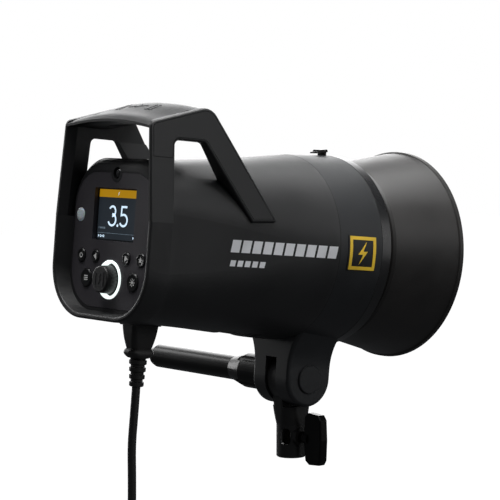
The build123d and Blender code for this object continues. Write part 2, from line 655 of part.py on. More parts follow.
def stand_adapter():
    tube = turned([(0, 0), (0, SOCKET_R - 0.8), (0.8, SOCKET_R), (26, SOCKET_R), (26, 0)], Plane.XY)
    shoulder = loft([Pos(0, 0, 24) * RectangleRounded(21.6, 21.6, 10.7),
                     Pos(0, 0, 34) * RectangleRounded(22, 24.4, 8.5),
                     Pos(0, 0, 47) * RectangleRounded(22, 27.2, 8.0)])
    foot = SOCKET_R - 0.7
    stem = make_face(Polyline((-STEM_HALF, 0), (STEM_HALF, 0), (STEM_HALF, -12), (foot, -31), (-foot, -31),
                              (-STEM_HALF, -12), close=True))
    tongue = extrude(ROW_PIVOT * (Circle(TONGUE_R) + stem), TONGUE_HALF, both=True)
    above = PIVOT_HEIGHT - YOKE_R - YOKE_CLEARANCE
    beside = [Pos(side * (TONGUE_HALF + 20), 0, above + 20) * Box(40, 60, 40) for side in (-1, 1)]
    body = tube + (shoulder - beside) + tongue
    boss = rod(7.0, -13.0, -9.0, CLAMP_AXIS)
    body += boss
    body -= rod(SOCKET_BORE, -1, SOCKET_DEPTH, Plane.XY)
    body -= rod(SOCKET_BORE + 0.3, CLAMP_Z - 7, CLAMP_Z + 7, Plane.XY)     # relief round the cross slot
    body -= rod(BOLT_R + RUN, -20, 20, ROW_PIVOT)
    body -= rod(4.25 + RUN, -20, 0, CLAMP_AXIS)
    window = Pos(0, 0, CLAMP_Z) * Rot(0, 0, WINDOW_TURN) * Rot(90, 0, 0) \
        * extrude(RectangleRounded(8.0, 12, 3), 20, both=True)
    return body - window


def clamp_pad():
    return rod(4.25, -10.7, -8.3, CLAMP_AXIS)


def wing_knob():
    screw = turned([(-20.5, 0), (-20.5, 4.25), (-10.8, 4.25), (-10.8, 0)], CLAMP_AXIS)
    hub = turned([(-22.5, 0), (-22.5, 5.2), (-18.0, 5.2), (-17.4, 4.8), (-17.4, 0)], CLAMP_AXIS)
    outline = make_face(Polyline((-18.4, 6.5), (-19.4, 16.5), (-22.8, 19.2), (-33.8, 18.4), (-36.5, 15.0), (-37.3, 0.0),
                                 (-36.5, -15.0), (-34.3, -18.4), (-23.8, -19.2), (-19.7, -16.5), (-18.4, -6.5),
                                 close=True))
    paddle = extrude(Plane(origin=(0, 0, CLAMP_Z), x_dir=(1, 0, 0), z_dir=(0, -1, 0)) * outline, 3.75, both=True)
    paddle = soften(paddle, paddle.faces().filter_by(Axis.Y).edges(), 1.4)
    return screw + hub + paddle


# ---- fasteners ------------------------------------------------------------------------------
def housing_screws():
    screws = []
    for angle in SCREW_ANGLES:
        axis = Plane(origin=(0, -146.4, 0), z_dir=(cos(radians(angle)), 0, sin(radians(angle))))
        screws.append(turned([(59.5, 0), (59.5, 1.2), (64.0, 1.2), (64.1, 1.5), (67.0, 1.5), (67.0, 0)], axis))
    return group(screws)


# ---- placing and writing ----------------------------------------------------------------------
TO_ROW = Pos(0, 0, PIVOT_HEIGHT) * Rot(TILT, 0, 0) * Pos(0, PIVOT_S, -PIVOT_U)


def head_parts():
    parts = {
        "main_housing": main_housing(), "vent_grille": vent_grille(), "handle_frame": handle_frame(),
        "handle_top_plate": handle_top_plate(), "handle_inlay_left": inlay(),
        "handle_inlay_right": mirrored(inlay()), "control_panel": control_panel(),
        "display_gasket": display_gasket(), "display_window": display_window(),
        "display_module": display_module(), "sensor_cover": sensor_cover(),
        "photocell_lens": photocell_lens(), "knob_light_ring": knob_light_ring(),
        "control_knob": control_knob(), "encoder_shaft": encoder_shaft(),
        "encoder_bushing": encoder_bushing(), "rotary_encoder": rotary_encoder(),
        "control_board": control_board(), "tact_switches": tact_switches(),
        "internal_chassis": internal_chassis(), "fan_frame": fan_frame(), "fan_rotor": fan_rotor(),
        "capacitors": capacitors(), "power_board": power_board(), "transformer": transformer(),
        "heat_sink": heat_sink(), "mains_inlet": mains_inlet(), "inlet_pins": inlet_pins(),
        "mains_plug": mains_plug(), "plug_strain_relief": plug_strain_relief(),
        "front_casting": front_casting(), "bayonet_ring": bayonet_ring(),
        "latch_slide": latch_slide(), "emblem_plate": emblem_plate(),
        "tube_base": tube_base(), "base_screws": base_screws(), "flash_tube": flash_tube(),
        "modelling_lamp": modelling_lamp(), "glass_dome": glass_dome(), "reflector": reflector(),
        "pivot_bolt": pivot_bolt(), "pivot_cap": pivot_cap(), "friction_washers": friction_washers(),
        "tilt_lever": tilt_lever(), "housing_screws": housing_screws(),
    }
    parts.update({name: button(*row) for name, row in BUTTONS.items()})
    parts["front_casting"] -= parts["emblem_plate"]
    return parts


def row_parts():
    return {
        "stand_adapter": stand_adapter(), "clamp_pad": clamp_pad(), "wing_knob": wing_knob(),
        "cord_lead": cord(LEAD, "cord_lead"), "cord_tail": cord(TAIL, "cord_tail"),
        "cord_coil": cord_coil(), "coil_tie": coil_tie(), "wall_plug": wall_plug(),
        "wall_plug_pins": wall_plug_pins(),
    }


os.makedirs("parts", exist_ok=True)
for name, shape in {**{n: TO_ROW * p for n, p in head_parts().items()}, **row_parts()}.items():
    export_step(shape, f"parts/{name}.step")
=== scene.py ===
import json
from math import cos, pi, radians, sin

import bmesh
import bpy
from mathutils import Matrix, Vector
from mathutils.bvhtree import BVHTree


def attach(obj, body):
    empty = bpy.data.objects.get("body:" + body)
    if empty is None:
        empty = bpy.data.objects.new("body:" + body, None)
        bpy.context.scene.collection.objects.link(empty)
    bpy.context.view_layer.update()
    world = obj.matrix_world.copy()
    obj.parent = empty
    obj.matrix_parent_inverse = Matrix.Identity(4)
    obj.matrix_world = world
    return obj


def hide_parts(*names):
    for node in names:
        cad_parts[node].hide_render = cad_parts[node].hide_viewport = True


# The looks of a compact studio monolight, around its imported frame. Lengths are in metres, except
# where a name or a helper says millimetres: details of the head are placed in the head's own level
# frame, as x across the barrel, s ahead of the control panel and u above the barrel's axis, in mm.

MM = 0.001
TILT, PIVOT_HEIGHT, PIVOT_S, PIVOT_U = 5.3, 59.4, 170.5, -95.4      # mm and degrees, as in the frame
HEAD = (Matrix.Scale(MM, 4) @ Matrix.Translation((0, 0, PIVOT_HEIGHT))
        @ Matrix.Rotation(radians(TILT), 4, "X") @ Matrix.Translation((0, PIVOT_S, -PIVOT_U)))

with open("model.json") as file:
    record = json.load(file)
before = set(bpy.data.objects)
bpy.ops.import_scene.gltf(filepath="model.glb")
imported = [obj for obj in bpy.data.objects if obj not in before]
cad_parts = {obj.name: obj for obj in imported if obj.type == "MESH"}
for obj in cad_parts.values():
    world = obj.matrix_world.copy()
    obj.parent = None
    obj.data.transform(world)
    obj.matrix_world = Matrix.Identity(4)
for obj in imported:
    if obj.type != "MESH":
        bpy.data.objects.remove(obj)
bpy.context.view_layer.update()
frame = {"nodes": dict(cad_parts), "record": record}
nodes = frame["nodes"]


def head(x, s, u):
    """A point of the head's level frame in mm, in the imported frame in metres."""
    return HEAD @ Vector((x, -s, u))


# ---- camera --------------------------------------------------------------------------------------
CAMERA_AT = Vector((-1.1229, 0.9507, 0.2572))
CAMERA_YAW, CAMERA_PITCH, LENS, SENSOR = radians(50.937), radians(4.033), 143.9, 36.0


def add_camera():
    data = bpy.data.cameras.new("camera")
    data.lens, data.sensor_width = LENS, SENSOR
    camera = bpy.data.objects.new("camera", data)
    bpy.context.scene.collection.objects.link(camera)
    camera.location = CAMERA_AT
    level = cos(CAMERA_PITCH)
    ahead = Vector((sin(CAMERA_YAW) * level, -cos(CAMERA_YAW) * level, -sin(CAMERA_PITCH)))
    camera.rotation_euler = ahead.to_track_quat("-Z", "Y").to_euler()
    bpy.context.scene.camera = camera


# ---- materials -----------------------------------------------------------------------------------
class Surface:
    """A principled material whose colour, roughness and bump come from procedural noise."""

    def __init__(self, name, colour, rough, metal=0.0):
        self.material = bpy.data.materials.new(name)
        self.material.use_nodes = True
        self.tree = self.material.node_tree
        self.shader = self.tree.nodes["Principled BSDF"]
        self.shader.inputs["Metallic"].default_value = metal
        self.colour, self.rough = colour, rough
        self.shader.inputs["Base Color"].default_value = (*colour, 1)
        self.shader.inputs["Roughness"].default_value = rough
        self.place = self.add("ShaderNodeTexCoord").outputs["Object"]
        self.height = None

    def add(self, kind, **settings):
        node = self.tree.nodes.new(kind)
        for key, value in settings.items():
            setattr(node, key, value)
        return node

    def link(self, source, target):
        self.tree.links.new(source, target)

    def set(self, **sockets):
        for key, value in sockets.items():
            self.shader.inputs[key.replace("_", " ")].default_value = value
        return self

    def noise(self, grain_mm, detail=3.0, stretch=(1, 1, 1)):
        spread = self.add("ShaderNodeMapping")
        spread.inputs["Scale"].default_value = stretch
        self.link(self.place, spread.inputs["Vector"])
        noise = self.add("ShaderNodeTexNoise")
        noise.inputs["Scale"].default_value = 1 / (grain_mm * MM)
        noise.inputs["Detail"].default_value = detail
        self.link(spread.outputs["Vector"], noise.inputs["Vector"])
        return noise.outputs["Fac"]

    def span(self, value, low, high):
        """value, which is mostly from 0.3 to 0.7, stretched to run from low to high."""
        scaled = self.add("ShaderNodeMapRange")
        for key, number in zip(("From Min", "From Max", "To Min", "To Max"), (0.3, 0.7, low, high)):
            scaled.inputs[key].default_value = number
        self.link(value, scaled.inputs["Value"])
        return scaled.outputs["Result"]

    def vary(self, grain_mm, colour_share=0.15, rough_share=0.1):
        """Slow changes of colour and roughness over the surface."""
        value = self.noise(grain_mm)
        mix = self.add("ShaderNodeMix", data_type="RGBA")
        self.link(self.span(value, 0.0, 1.0), mix.inputs["Factor"])
        mix.inputs["A"].default_value = (*[c * (1 - colour_share) for c in self.colour], 1)
        mix.inputs["B"].default_value = (*[c * (1 + colour_share) for c in self.colour], 1)
        self.link(mix.outputs["Result"], self.shader.inputs["Base Color"])
        rough = self.span(value, self.rough * (1 - rough_share), min(1.0, self.rough * (1 + rough_share)))
        self.link(rough, self.shader.inputs["Roughness"])
        return self

    def edges(self, lighter, amount):
        """Handling wears the edges a little lighter."""
        point = self.add("ShaderNodeNewGeometry").outputs["Pointiness"]
        ramp = self.add("ShaderNodeMapRange")
        for key, number in zip(("From Min", "From Max", "To Min", "To Max"), (0.52, 0.62, 0.0, amount)):
            ramp.inputs[key].default_value = number
        self.link(point, ramp.inputs["Value"])
        base = self.shader.inputs["Base Color"]
        mix = self.add("ShaderNodeMix", data_type="RGBA")
        self.link(ramp.outputs["Result"], mix.inputs["Factor"])
        if base.is_linked:
            self.link(base.links[0].from_socket, mix.inputs["A"])
        else:
            mix.inputs["A"].default_value = base.default_value
        mix.inputs["B"].default_value = (*lighter, 1)
        self.link(mix.outputs["Result"], base)
        return self

    def bump(self, value, depth_mm):
        node = self.add("ShaderNodeBump")
        node.inputs["Distance"].default_value = depth_mm * MM
        self.link(value, node.inputs["Height"])
        if self.height is not None:
            self.link(self.height, node.inputs["Normal"])
        self.height = node.outputs["Normal"]
        self.link(self.height, self.shader.inputs["Normal"])
        return self

    def grain(self, size_mm, depth_mm, detail=2.0, stretch=(1, 1, 1)):
        return self.bump(self.noise(size_mm, detail, stretch), depth_mm)

    def cells(self, size_mm, depth_mm):
        """A leathery texture, as spark-eroded moulds leave it."""
        cell = self.add("ShaderNodeTexVoronoi", feature="SMOOTH_F1")
        cell.inputs["Scale"].default_value = 1 / (size_mm * MM)
        self.link(self.place, cell.inputs["Vector"])
        return self.bump(cell.outputs["Distance"], depth_mm)


def plastic(name, colour, rough, grain_mm=0.5, depth_mm=0.03, lighter=None, **sockets):
    surface = Surface(name, colour, rough).vary(28, 0.12, 0.08).cells(grain_mm, depth_mm)
    surface.grain(grain_mm * 0.5, depth_mm * 0.6)
    if lighter:
        surface.edges(lighter, 0.35)
    return surface.set(**sockets).material


def paint(name, colour, rough, peel_mm=1.6, depth_mm=0.02, **sockets):
    surface = Surface(name, colour, rough).vary(22, 0.14, 0.1)
    surface.grain(peel_mm, depth_mm).grain(0.35, depth_mm * 0.8)
    return surface.set(**sockets).material


def metal(name, colour, rough, stretch=(1, 1, 1), **sockets):
    surface = Surface(name, colour, rough, metal=1.0).vary(9, 0.08, 0.2).grain(0.5, 0.006, 3.0, stretch)
    return surface.set(**sockets).material


def glass(name, colour, rough=0.02):
    surface = Surface(name, colour, rough).vary(30, 0.03, 0.3).grain(12, 0.01)
    return surface.set(Transmission_Weight=1.0, IOR=1.47).material


def glowing(name, colour, strength):
    surface = Surface(name, colour, 0.35).vary(3, 0.04, 0.1).grain(0.6, 0.004)
    surface.set(Emission_Color=(*colour, 1), Emission_Strength=strength)
    return surface.material


def woven(name, colour):
    """Warp and weft of a narrow webbing."""
    surface = Surface(name, colour, 0.85).vary(6, 0.2, 0.05)
    for direction in ("X", "Y"):
        wave = surface.add("ShaderNodeTexWave", bands_direction=direction)
        wave.inputs["Scale"].default_value = 300
        wave.inputs["Distortion"].default_value = 0.4
        surface.link(surface.place, wave.inputs["Vector"])
        surface.bump(wave.outputs["Fac"], 0.12)
    return surface.set(Sheen_Weight=0.4, Sheen_Roughness=0.5).material


def circuit(name):
    """A green board with paler tracks."""
    surface = Surface(name, (0.015, 0.09, 0.04), 0.35).grain(1.2, 0.02)
    tracks = surface.add("ShaderNodeTexBrick")
    tracks.inputs["Scale"].default_value = 90
    for key, colour in (("Color1", (0.012, 0.08, 0.035, 1)), ("Color2", (0.02, 0.12, 0.05, 1)),
                        ("Mortar", (0.05, 0.22, 0.09, 1))):
        tracks.inputs[key].default_value = colour
    surface.link(surface.place, tracks.inputs["Vector"])
    surface.link(tracks.outputs["Color"], surface.shader.inputs["Base Color"])
    return surface.material


BLACK = (0.0105, 0.0108, 0.0115)
WORN = (0.035, 0.035, 0.037)
LOOKS = {
    "housing_plastic": plastic("housing_plastic", BLACK, 0.46, 0.55, 0.035, WORN),
    "handle_rubber": plastic("handle_rubber", (0.0125, 0.0128, 0.0135), 0.55, 0.4, 0.03),
    "panel_plastic": plastic("panel_plastic", (0.036, 0.033, 0.038), 0.42, 0.35, 0.02, (0.08, 0.075, 0.085)),
    "button_rubber": plastic("button_rubber", (0.006, 0.006, 0.0065), 0.32, 0.5, 0.01),
    "knob_plastic": plastic("knob_plastic", (0.0085, 0.0083, 0.0085), 0.42, 0.4, 0.02, WORN),
    "light_ring": glowing("light_ring", (0.86, 0.97, 0.94), 1.15),
    "display_glass": plastic("display_glass", (0.012, 0.014, 0.017), 0.08, 4.0, 0.002),
    "display_body": plastic("display_body", (0.02, 0.021, 0.022), 0.4),
    "sensor_plastic": plastic("sensor_plastic", (0.9, 0.9, 0.92), 0.35, 0.6, 0.01, Subsurface_Weight=0.2),
    "photocell": plastic("photocell", (0.004, 0.004, 0.005), 0.05, 3.0, 0.002, Coat_Weight=1.0),
    "board": circuit("board"),
    "chassis_metal": metal("chassis_metal", (0.6, 0.61, 0.63), 0.35, (1, 12, 1)),
    "fan_plastic": plastic("fan_plastic", (0.012, 0.012, 0.012), 0.4),
    "capacitor_sleeve": plastic("capacitor_sleeve", (0.01, 0.015, 0.045), 0.25, 2.0, 0.01),
    "ferrite": paint("ferrite", (0.03, 0.03, 0.031), 0.6),
    "inlet_plastic": plastic("inlet_plastic", (0.012, 0.012, 0.012), 0.4),
    "contact_brass": metal("contact_brass", (0.72, 0.52, 0.22), 0.25, (8, 1, 1)),
    "casting_paint": paint("casting_paint", (0.0125, 0.0138, 0.0155), 0.46, 1.4, 0.022),
    "bayonet_metal": paint("bayonet_metal", (0.013, 0.0132, 0.014), 0.28, 3.0, 0.01),
    "steel": metal("steel", (0.02, 0.0195, 0.019), 0.3, (1, 14, 1)),
    "emblem": paint("emblem", (0.008, 0.008, 0.008), 0.4),
    "base_ceramic": plastic("base_ceramic", (0.72, 0.71, 0.67), 0.5, 0.8, 0.02),
    "tube_glass": glass("tube_glass", (0.94, 0.95, 0.93)),
    "lamp_phosphor": plastic("lamp_phosphor", (0.85, 0.6, 0.12), 0.5, 0.6, 0.02),
    "dome_glass": glass("dome_glass", (0.96, 0.97, 0.97), 0.25),
    "reflector_paint": paint("reflector_paint", (0.0185, 0.0172, 0.0165), 0.42, 0.9, 0.02),
    "lever_plastic": plastic("lever_plastic", (0.002, 0.002, 0.0021), 0.3, 1.2, 0.006,
                             Specular_IOR_Level=0.2),
    "adapter_metal": paint("adapter_metal", (0.0085, 0.0083, 0.0082), 0.38, 1.1, 0.02),
    "washer": paint("washer", (0.05, 0.048, 0.045), 0.7),
    "cord_rubber": plastic("cord_rubber", (0.009, 0.0085, 0.0085), 0.5, 0.5, 0.02, Sheen_Weight=0.05),
    "tie_fabric": woven("tie_fabric", (0.014, 0.014, 0.015)),
}
EXTRA = {
    "symbol_white": plastic("symbol_white", (0.82, 0.82, 0.8), 0.5, 0.3, 0.01),
    "print_grey": plastic("print_grey", (0.8, 0.81, 0.84), 0.5, 0.3, 0.006),
    "emblem_gold": paint("emblem_gold", (0.95, 0.62, 0.04), 0.42, 0.8, 0.006),
    # near-black: the barrel's dark joint lines, and painted shade on the knob's recessed floor
    "dark_seam_and_painted_shade": plastic("dark_seam_and_painted_shade", (0.002, 0.002, 0.002), 0.7),
    "screen_digits": glowing("screen_digits", (0.66, 0.84, 1.0), 0.85),
    "screen_bar": glowing("screen_bar", (0.42, 0.215, 0.004), 0.8),
    "screen_dim": glowing("screen_dim", (0.2, 0.27, 0.33), 0.35),
    "screen_back": glowing("screen_back", (0.016, 0.021, 0.027), 0.7),
    "bowl_silver": metal("bowl_silver", (0.78, 0.78, 0.77), 0.34),
    "knob_mark": plastic("knob_mark", (0.02, 0.02, 0.021), 0.3),
}


def paint_nodes():
    for part in frame["record"]["subparts"]:
        mesh = nodes[part["node"]].data
        mesh.materials.clear()
        mesh.materials.append(LOOKS[part["material_slot"]])


BOWL_S = 202.0        # the bowl's inside lies ahead of this


def silver_bowl():
    """The reflector's inside faces, those that look at the barrel's axis, are bright metal."""
    mesh = nodes["reflector"].data
    mesh.materials.append(EXTRA["bowl_silver"])
    level = HEAD.inverted()
    turn = level.to_3x3().normalized()
    for face in mesh.polygons:
        centre, normal = level @ face.center, turn @ face.normal
        inward = centre.x * normal.x + centre.z * normal.z < 0
        face.material_index = int(inward and -centre.y > BOWL_S)


# ---- mesh helpers --------------------------------------------------------------------------------
def piece(name, verts, faces, body, material):
    mesh = bpy.data.meshes.new(name)
    mesh.from_pydata([tuple(v) for v in verts], [], faces)
    tidy = bmesh.new()
    tidy.from_mesh(mesh)
    bmesh.ops.recalc_face_normals(tidy, faces=tidy.faces)
    tidy.to_mesh(mesh)
    tidy.free()
    mesh.materials.append(material)
    item = bpy.data.objects.new(name, mesh)
    bpy.context.scene.collection.objects.link(item)
    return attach(item, body)


class Shapes:
    """Gathers thick flat shapes and rings of the head frame into one mesh."""

    def __init__(self):
        self.verts, self.faces = [], []

    def prism(self, outline, s_back, s_front):
        """An outline of (x, u) points, from s_back towards the viewer at s_front."""
        start, count = len(self.verts), len(outline)
        self.verts += [head(x, s, u) for s in (s_back, s_front) for x, u in outline]
        self.faces += [tuple(range(start, start + count)), tuple(range(start + count, start + 2 * count))]
        for i in range(count):
            j = (i + 1) % count
            self.faces.append((start + i, start + j, start + count + j, start + count + i))

    def band(self, inner, outer, s_back, s_front):
        """The strip between two open lines of (x, u) points with the same count."""
        for i in range(len(inner) - 1):
            self.prism([inner[i], inner[i + 1], outer[i + 1], outer[i]], s_back, s_front)

    def ring(self, x, u, radius, width, s_back, s_front, start=0.0, sweep=360.0, steps=24):
        angles = [radians(start + sweep * i / steps) for i in range(steps + 1)]
        inner, outer = [[(x + r * cos(a), u + r * sin(a)) for a in angles]
                        for r in (radius - width / 2, radius + width / 2)]
        self.band(inner, outer, s_back, s_front)

    def box(self, x, u, s):
        self.prism([(x[0], u[0]), (x[1], u[0]), (x[1], u[1]), (x[0], u[1])], *s)

    def turned(self, profile, steps=180):
        """A closed ring about the barrel's axis, from (s, radius) points."""
        start, count = len(self.verts), len(profile)
        for i in range(steps):
            a = 2 * pi * i / steps
            self.verts += [head(r * cos(a), s, r * sin(a)) for s, r in profile]
        for i in range(steps):
            for k in range(count):
                here, there = start + i * count, start + (i + 1) % steps * count
                self.faces.append((here + k, here + (k + 1) % count, there + (k + 1) % count, there + k))

    def build(self, name, body, slot, material):
        return piece(name, self.verts, self.faces, body, material)


def skin_of(node):
    """A tree of a CAD node's faces that can be hit with rays."""
    mesh = nodes[node].data
    return BVHTree.FromPolygons([v.co for v in mesh.vertices], [p.vertices for p in mesh.polygons])


OUTSIDE_X, ABOVE_U = -120.0, 130.0        # clear of the head on its right side, and above it


class Print:
    """Thin shapes of (s, u) points laid on the head's right side, the one with negative x."""

    def __init__(self, tree, thick_mm=0.12):
        self.tree, self.thick = tree, thick_mm
        self.verts, self.faces = [], []

    def lay(self, s, u, above):
        """The point of the skin at (s, u), raised by so many mm."""
        start = head(OUTSIDE_X, s, u)
        inward = (head(0, s, u) - start).normalized()
        return self.tree.ray_cast(start, inward)[0] - inward * above * MM

    def quad(self, corners, across=6, up=6):
        """Four (s, u) corners, divided so that the shape follows the skin."""
        a, b, c, d = corners
        start = len(self.verts)
        for above in (-0.05, self.thick):
            for i in range(across + 1):
                for k in range(up + 1):
                    p, q = i / across, k / up
                    s, u = [(1 - p) * ((1 - q) * a[n] + q * d[n]) + p * ((1 - q) * b[n] + q * c[n])
                            for n in (0, 1)]
                    self.verts.append(self.lay(s, u, above))
        row, layer = up + 1, (across + 1) * (up + 1)
        for i in range(across):
            for k in range(up):
                first = start + i * row + k
                under = (first, first + row, first + row + 1, first + 1)
                self.faces += [under, tuple(v + layer for v in under)]
        rim = [start + i * row for i in range(across + 1)]
        rim += [start + across * row + k for k in range(1, row)]
        rim += [start + i * row + up for i in range(across - 1, -1, -1)]
        rim += [start + k for k in range(up - 1, 0, -1)]
        for here, there in zip(rim, rim[1:] + rim[:1]):
            self.faces.append((here, there, there + layer, here + layer))

    def build(self, name, slot, material):
        return piece(name, self.verts, self.faces, "head", material)


# ---- control panel -------------------------------------------------------------------------------
DISPLAY_U, KNOB_U = 14.9, -29.9
DISPLAY_W, DISPLAY_H = 49.0, 36.4
GLASS_S = 3.3                                   # the window's face behind the panel's
LIT_BACK, LIT_FACE = GLASS_S + 0.02, GLASS_S - 0.06             # what the display shows, back and front
BUTTONS = {"power_button": (35.2, -14.8), "star_button": (-35.2, -14.8), "left_button": (18.3, -14.6),
           "right_button": (-18.3, -14.6), "menu_button": (27.5, -30.2), "lamp_button": (-27.5, -30.2)}
MARK = (-0.50, -0.68)                           # a printed symbol's back and front
RAISED = (-8.5, -8.78)                          # the back and front of the mark on the knob
BOLT_SIGN = [(0.34, 1.0), (-0.42, -0.12), (0.02, -0.12), (-0.3, -1.0), (0.46, 0.16), (0.04, 0.16)]


def screen():
    """What the display shows: a coloured title bar, a large reading and small generic marks."""
    top, bottom = DISPLAY_U + DISPLAY_H / 2, DISPLAY_U - DISPLAY_H / 2
    left, right = DISPLAY_W / 2 - 1.2, 1.2 - DISPLAY_W / 2
    shown = (LIT_BACK, LIT_FACE)
    lit = Shapes()
    lit.box((right, left), (bottom + 1.0, top - 1.0), (LIT_BACK, GLASS_S - 0.02))
    lit.build("screen_back", "head", "display_glass", EXTRA["screen_back"])
    bar = Shapes()
    bar.box((right, left), (top - 6.4, top - 1.0), shown)
    bar.build("screen_title_bar", "head", "display_glass", EXTRA["screen_bar"])

    small = Shapes()
    small.prism([(1.2, top - 5.2), (-0.2, top - 3.9), (0.5, top - 3.6), (-0.9, top - 2.2), (0.9, top - 3.3),
                 (0.1, top - 3.7)], LIT_BACK, LIT_FACE - 0.03)
    low, middle, high = bottom + 2.0, bottom + 2.95, bottom + 3.9
    for x in (left - 1.4, right + 4.2):
        small.prism([(x, low), (x, high), (x - 1.5, middle)], *shown)
    for i, wide in enumerate((1.2, 0.5, 1.2)):
        small.ring(left - 4.4 - 1.7 * i, middle, 0.7 * wide / 1.2, 0.42, *shown, steps=16)
    small.box((right + 1.2, right + 1.7), (low, high), shown)
    small.build("screen_marks", "head", "display_glass", EXTRA["screen_digits"])

    dim = Shapes()
    dim.box((right + 0.8, left - 0.8), (bottom + 5.0, bottom + 5.25), shown)
    for i, wide in enumerate((0.5, 1.1, 1.1, 0.8, 1.1)):
        x = left - 1.6 - 1.6 * i
        dim.box((x - wide, x), (bottom + 8.0, bottom + 9.3), shown)
    dim.build("screen_dim_marks", "head", "display_glass", EXTRA["screen_dim"])


def reading():
    """The display's number, drawn as rounded strokes."""
    digit = Shapes()
    wide, tall, base = 1.42, 14.6, DISPLAY_U - 8.3
    upper, lower = 3.35, 3.95                   # the radii of a digit's bowls
    three, five = 6.6, -6.9                     # the middles of the two digits

    def bowl(x, u, radius, start, sweep, squash, steps=22):
        """An arc of a digit; angles run as the viewer sees them."""
        angles = [radians(start + sweep * i / steps) for i in range(steps + 1)]
        inner, outer = [[(x - r * cos(a) * squash, u + r * sin(a)) for a in angles]
                        for r in (radius - wide / 2, radius + wide / 2)]
        digit.band(inner, outer, LIT_BACK, LIT_FACE)

    bowl(three, base + tall - upper - wide / 2, upper, 150, -240, 1.08)
    bowl(three, base + lower + wide / 2, lower, 90, -250, 1.12)
    digit.ring(-0.3, base + 0.9, 0.5, 1.0, LIT_BACK, LIT_FACE, steps=20)
    bowl(five, base + lower + wide / 2, lower, 118, -270, 1.1)
    slant = [(five + 3.6, base + 7.2), (five + 3.6 - wide, base + 7.6), (five + 3.2 - wide, base + tall),
             (five + 3.2, base + tall)]
    digit.prism(slant, LIT_BACK, LIT_FACE)
    digit.box((five - 3.6, five + 3.2), (base + tall - wide, base + tall), (LIT_BACK, LIT_FACE - 0.005))
    digit.build("screen_reading", "head", "display_glass", EXTRA["screen_digits"])


def star(x, u, points, outer, inner):
    """The corners of a star, its first point upwards."""
    corners = []
    for i in range(2 * points):
        a = radians(90 + 180 * i / points)
        r = inner if i % 2 else outer
        corners.append((x + r * cos(a), u + r * sin(a)))
    return corners


def symbols():
    """White signs on the button caps: they move with their buttons."""
    signs = {name: Shapes() for name in BUTTONS}
    x, u = BUTTONS["power_button"]
    signs["power_button"].ring(x, u, 1.45, 0.5, *MARK, start=125, sweep=290)
    signs["power_button"].box((x - 0.25, x + 0.25), (u + 0.5, u + 2.1), MARK)
    x, u = BUTTONS["star_button"]
    signs["star_button"].prism(star(x, u, 5, 2.5, 1.05), *MARK)
    for name, tip in (("left_button", 1), ("right_button", -1)):
        x, u = BUTTONS[name]
        signs[name].prism([(x + 1.9 * tip, u), (x - 1.5 * tip, u + 2.5), (x - 1.5 * tip, u - 2.5)], *MARK)
    x, u = BUTTONS["menu_button"]
    for row in (-1.35, 0.0, 1.35):
        signs["menu_button"].box((x - 2.0, x + 2.0), (u + row - 0.42, u + row + 0.42), MARK)
    x, u = BUTTONS["lamp_button"]
    sun = signs["lamp_button"]
    sun.ring(x, u, 0.55, 1.1, *MARK)
    for i in range(8):
        a = radians(45 * i)
        side = (0.3 * sin(a), -0.3 * cos(a))
        sun.prism([(x + r * cos(a) + k * side[0], u + r * sin(a) + k * side[1])
                   for r, k in ((1.5, -1), (1.5, 1), (2.9, 1), (2.9, -1))], *MARK)
    for name, shapes in signs.items():
        shapes.build(name.replace("button", "symbol"), name, "button_rubber", EXTRA["symbol_white"])


def knob_well_painted_shade():
    """The floor between the knob and its light ring, drawn as a near-black sheet: painted shade of the
    recess.
    """
    floor = Shapes()
    floor.ring(0, KNOB_U, 8.5, 6.0, 3.2, 2.6, steps=48)
    floor.build("knob_well_painted_shade", "head", "panel_plastic", EXTRA["dark_seam_and_painted_shade"])


def knob_mark():
    """A plain frame with a flash sign, raised on the knob's face."""
    mark = Shapes()
    out, half, end = 4.6, 0.3, 4.9              # the frame's lines, from the knob's axis
    for x in (out, -out):
        mark.box((x - half, x + half), (KNOB_U - end, KNOB_U + end), RAISED)
    for u in (out, -out):
        mark.box((-end, end), (KNOB_U + u - half, KNOB_U + u + half), RAISED)
    mark.prism([(-3.4 * x, KNOB_U + 3.6 * u) for x, u in BOLT_SIGN], *RAISED)
    mark.build("knob_mark", "control_knob", "knob_plastic", EXTRA["knob_mark"])


# ---- barrel --------------------------------------------------------------------------------------
SEAMS = ((149.62, 68.0), (187.9, 70.2))         # where a joint line runs, and the barrel's radius there


def seams():
    """The dark joint lines round the barrel."""
    seam = Shapes()
    for s, radius in SEAMS:
        rear, front, low, high = s - 0.22, s + 0.22, radius - 0.3, radius + 0.05
        seam.turned([(rear, low), (front, low), (front, high), (rear, high)])
    seam.build("barrel_seams", "head", "housing_plastic", EXTRA["dark_seam_and_painted_shade"])


def dashes(side, count, pitch, wide, low, high, slant, cells):
    """A row of plain slanted dashes."""
    for i in range(count):
        s = 58.0 + pitch * i
        side.quad([(s, low), (s + wide, low), (s + wide + slant, high), (s + slant, high)], cells, cells)


def side_print():
    """A plain slanted dash pattern, and the emblem's gold frame with a flash sign."""
    housing = Print(skin_of("main_housing"), 0.04)
    dashes(housing, 10, 9.0, 7.2, -5.0, 3.6, 1.5, 6)
    dashes(housing, 5, 6.2, 4.4, -14.6, -10.4, 0.9, 4)
    housing.build("side_stripes", "housing_plastic", EXTRA["print_grey"])

    rear, front, low, high, bar = 157.7, 181.5, -12.0, 12.0, 2.5
    badge = Print(skin_of("emblem_plate"), 0.22)
    badge.quad([(rear, low), (rear + bar, low), (rear + bar, high), (rear, high)], 2, 16)
    badge.quad([(front - bar, low), (front, low), (front, high), (front - bar, high)], 2, 16)
    for u in (low, high - bar):
        badge.quad([(rear + bar, u), (front - bar, u), (front - bar, u + bar), (rear + bar, u + bar)], 12, 2)
    middle, wide, tall = (rear + front) / 2, 9.5, 8.2
    sign = [(middle + wide * x, tall * u) for x, u in BOLT_SIGN]
    top, lower_left, notch_left, tip, upper_right, notch_right = sign
    badge.quad([lower_left, notch_left, notch_right, top])
    badge.quad([tip, upper_right, notch_right, notch_left])
    badge.build("emblem_sign", "emblem", EXTRA["emblem_gold"])


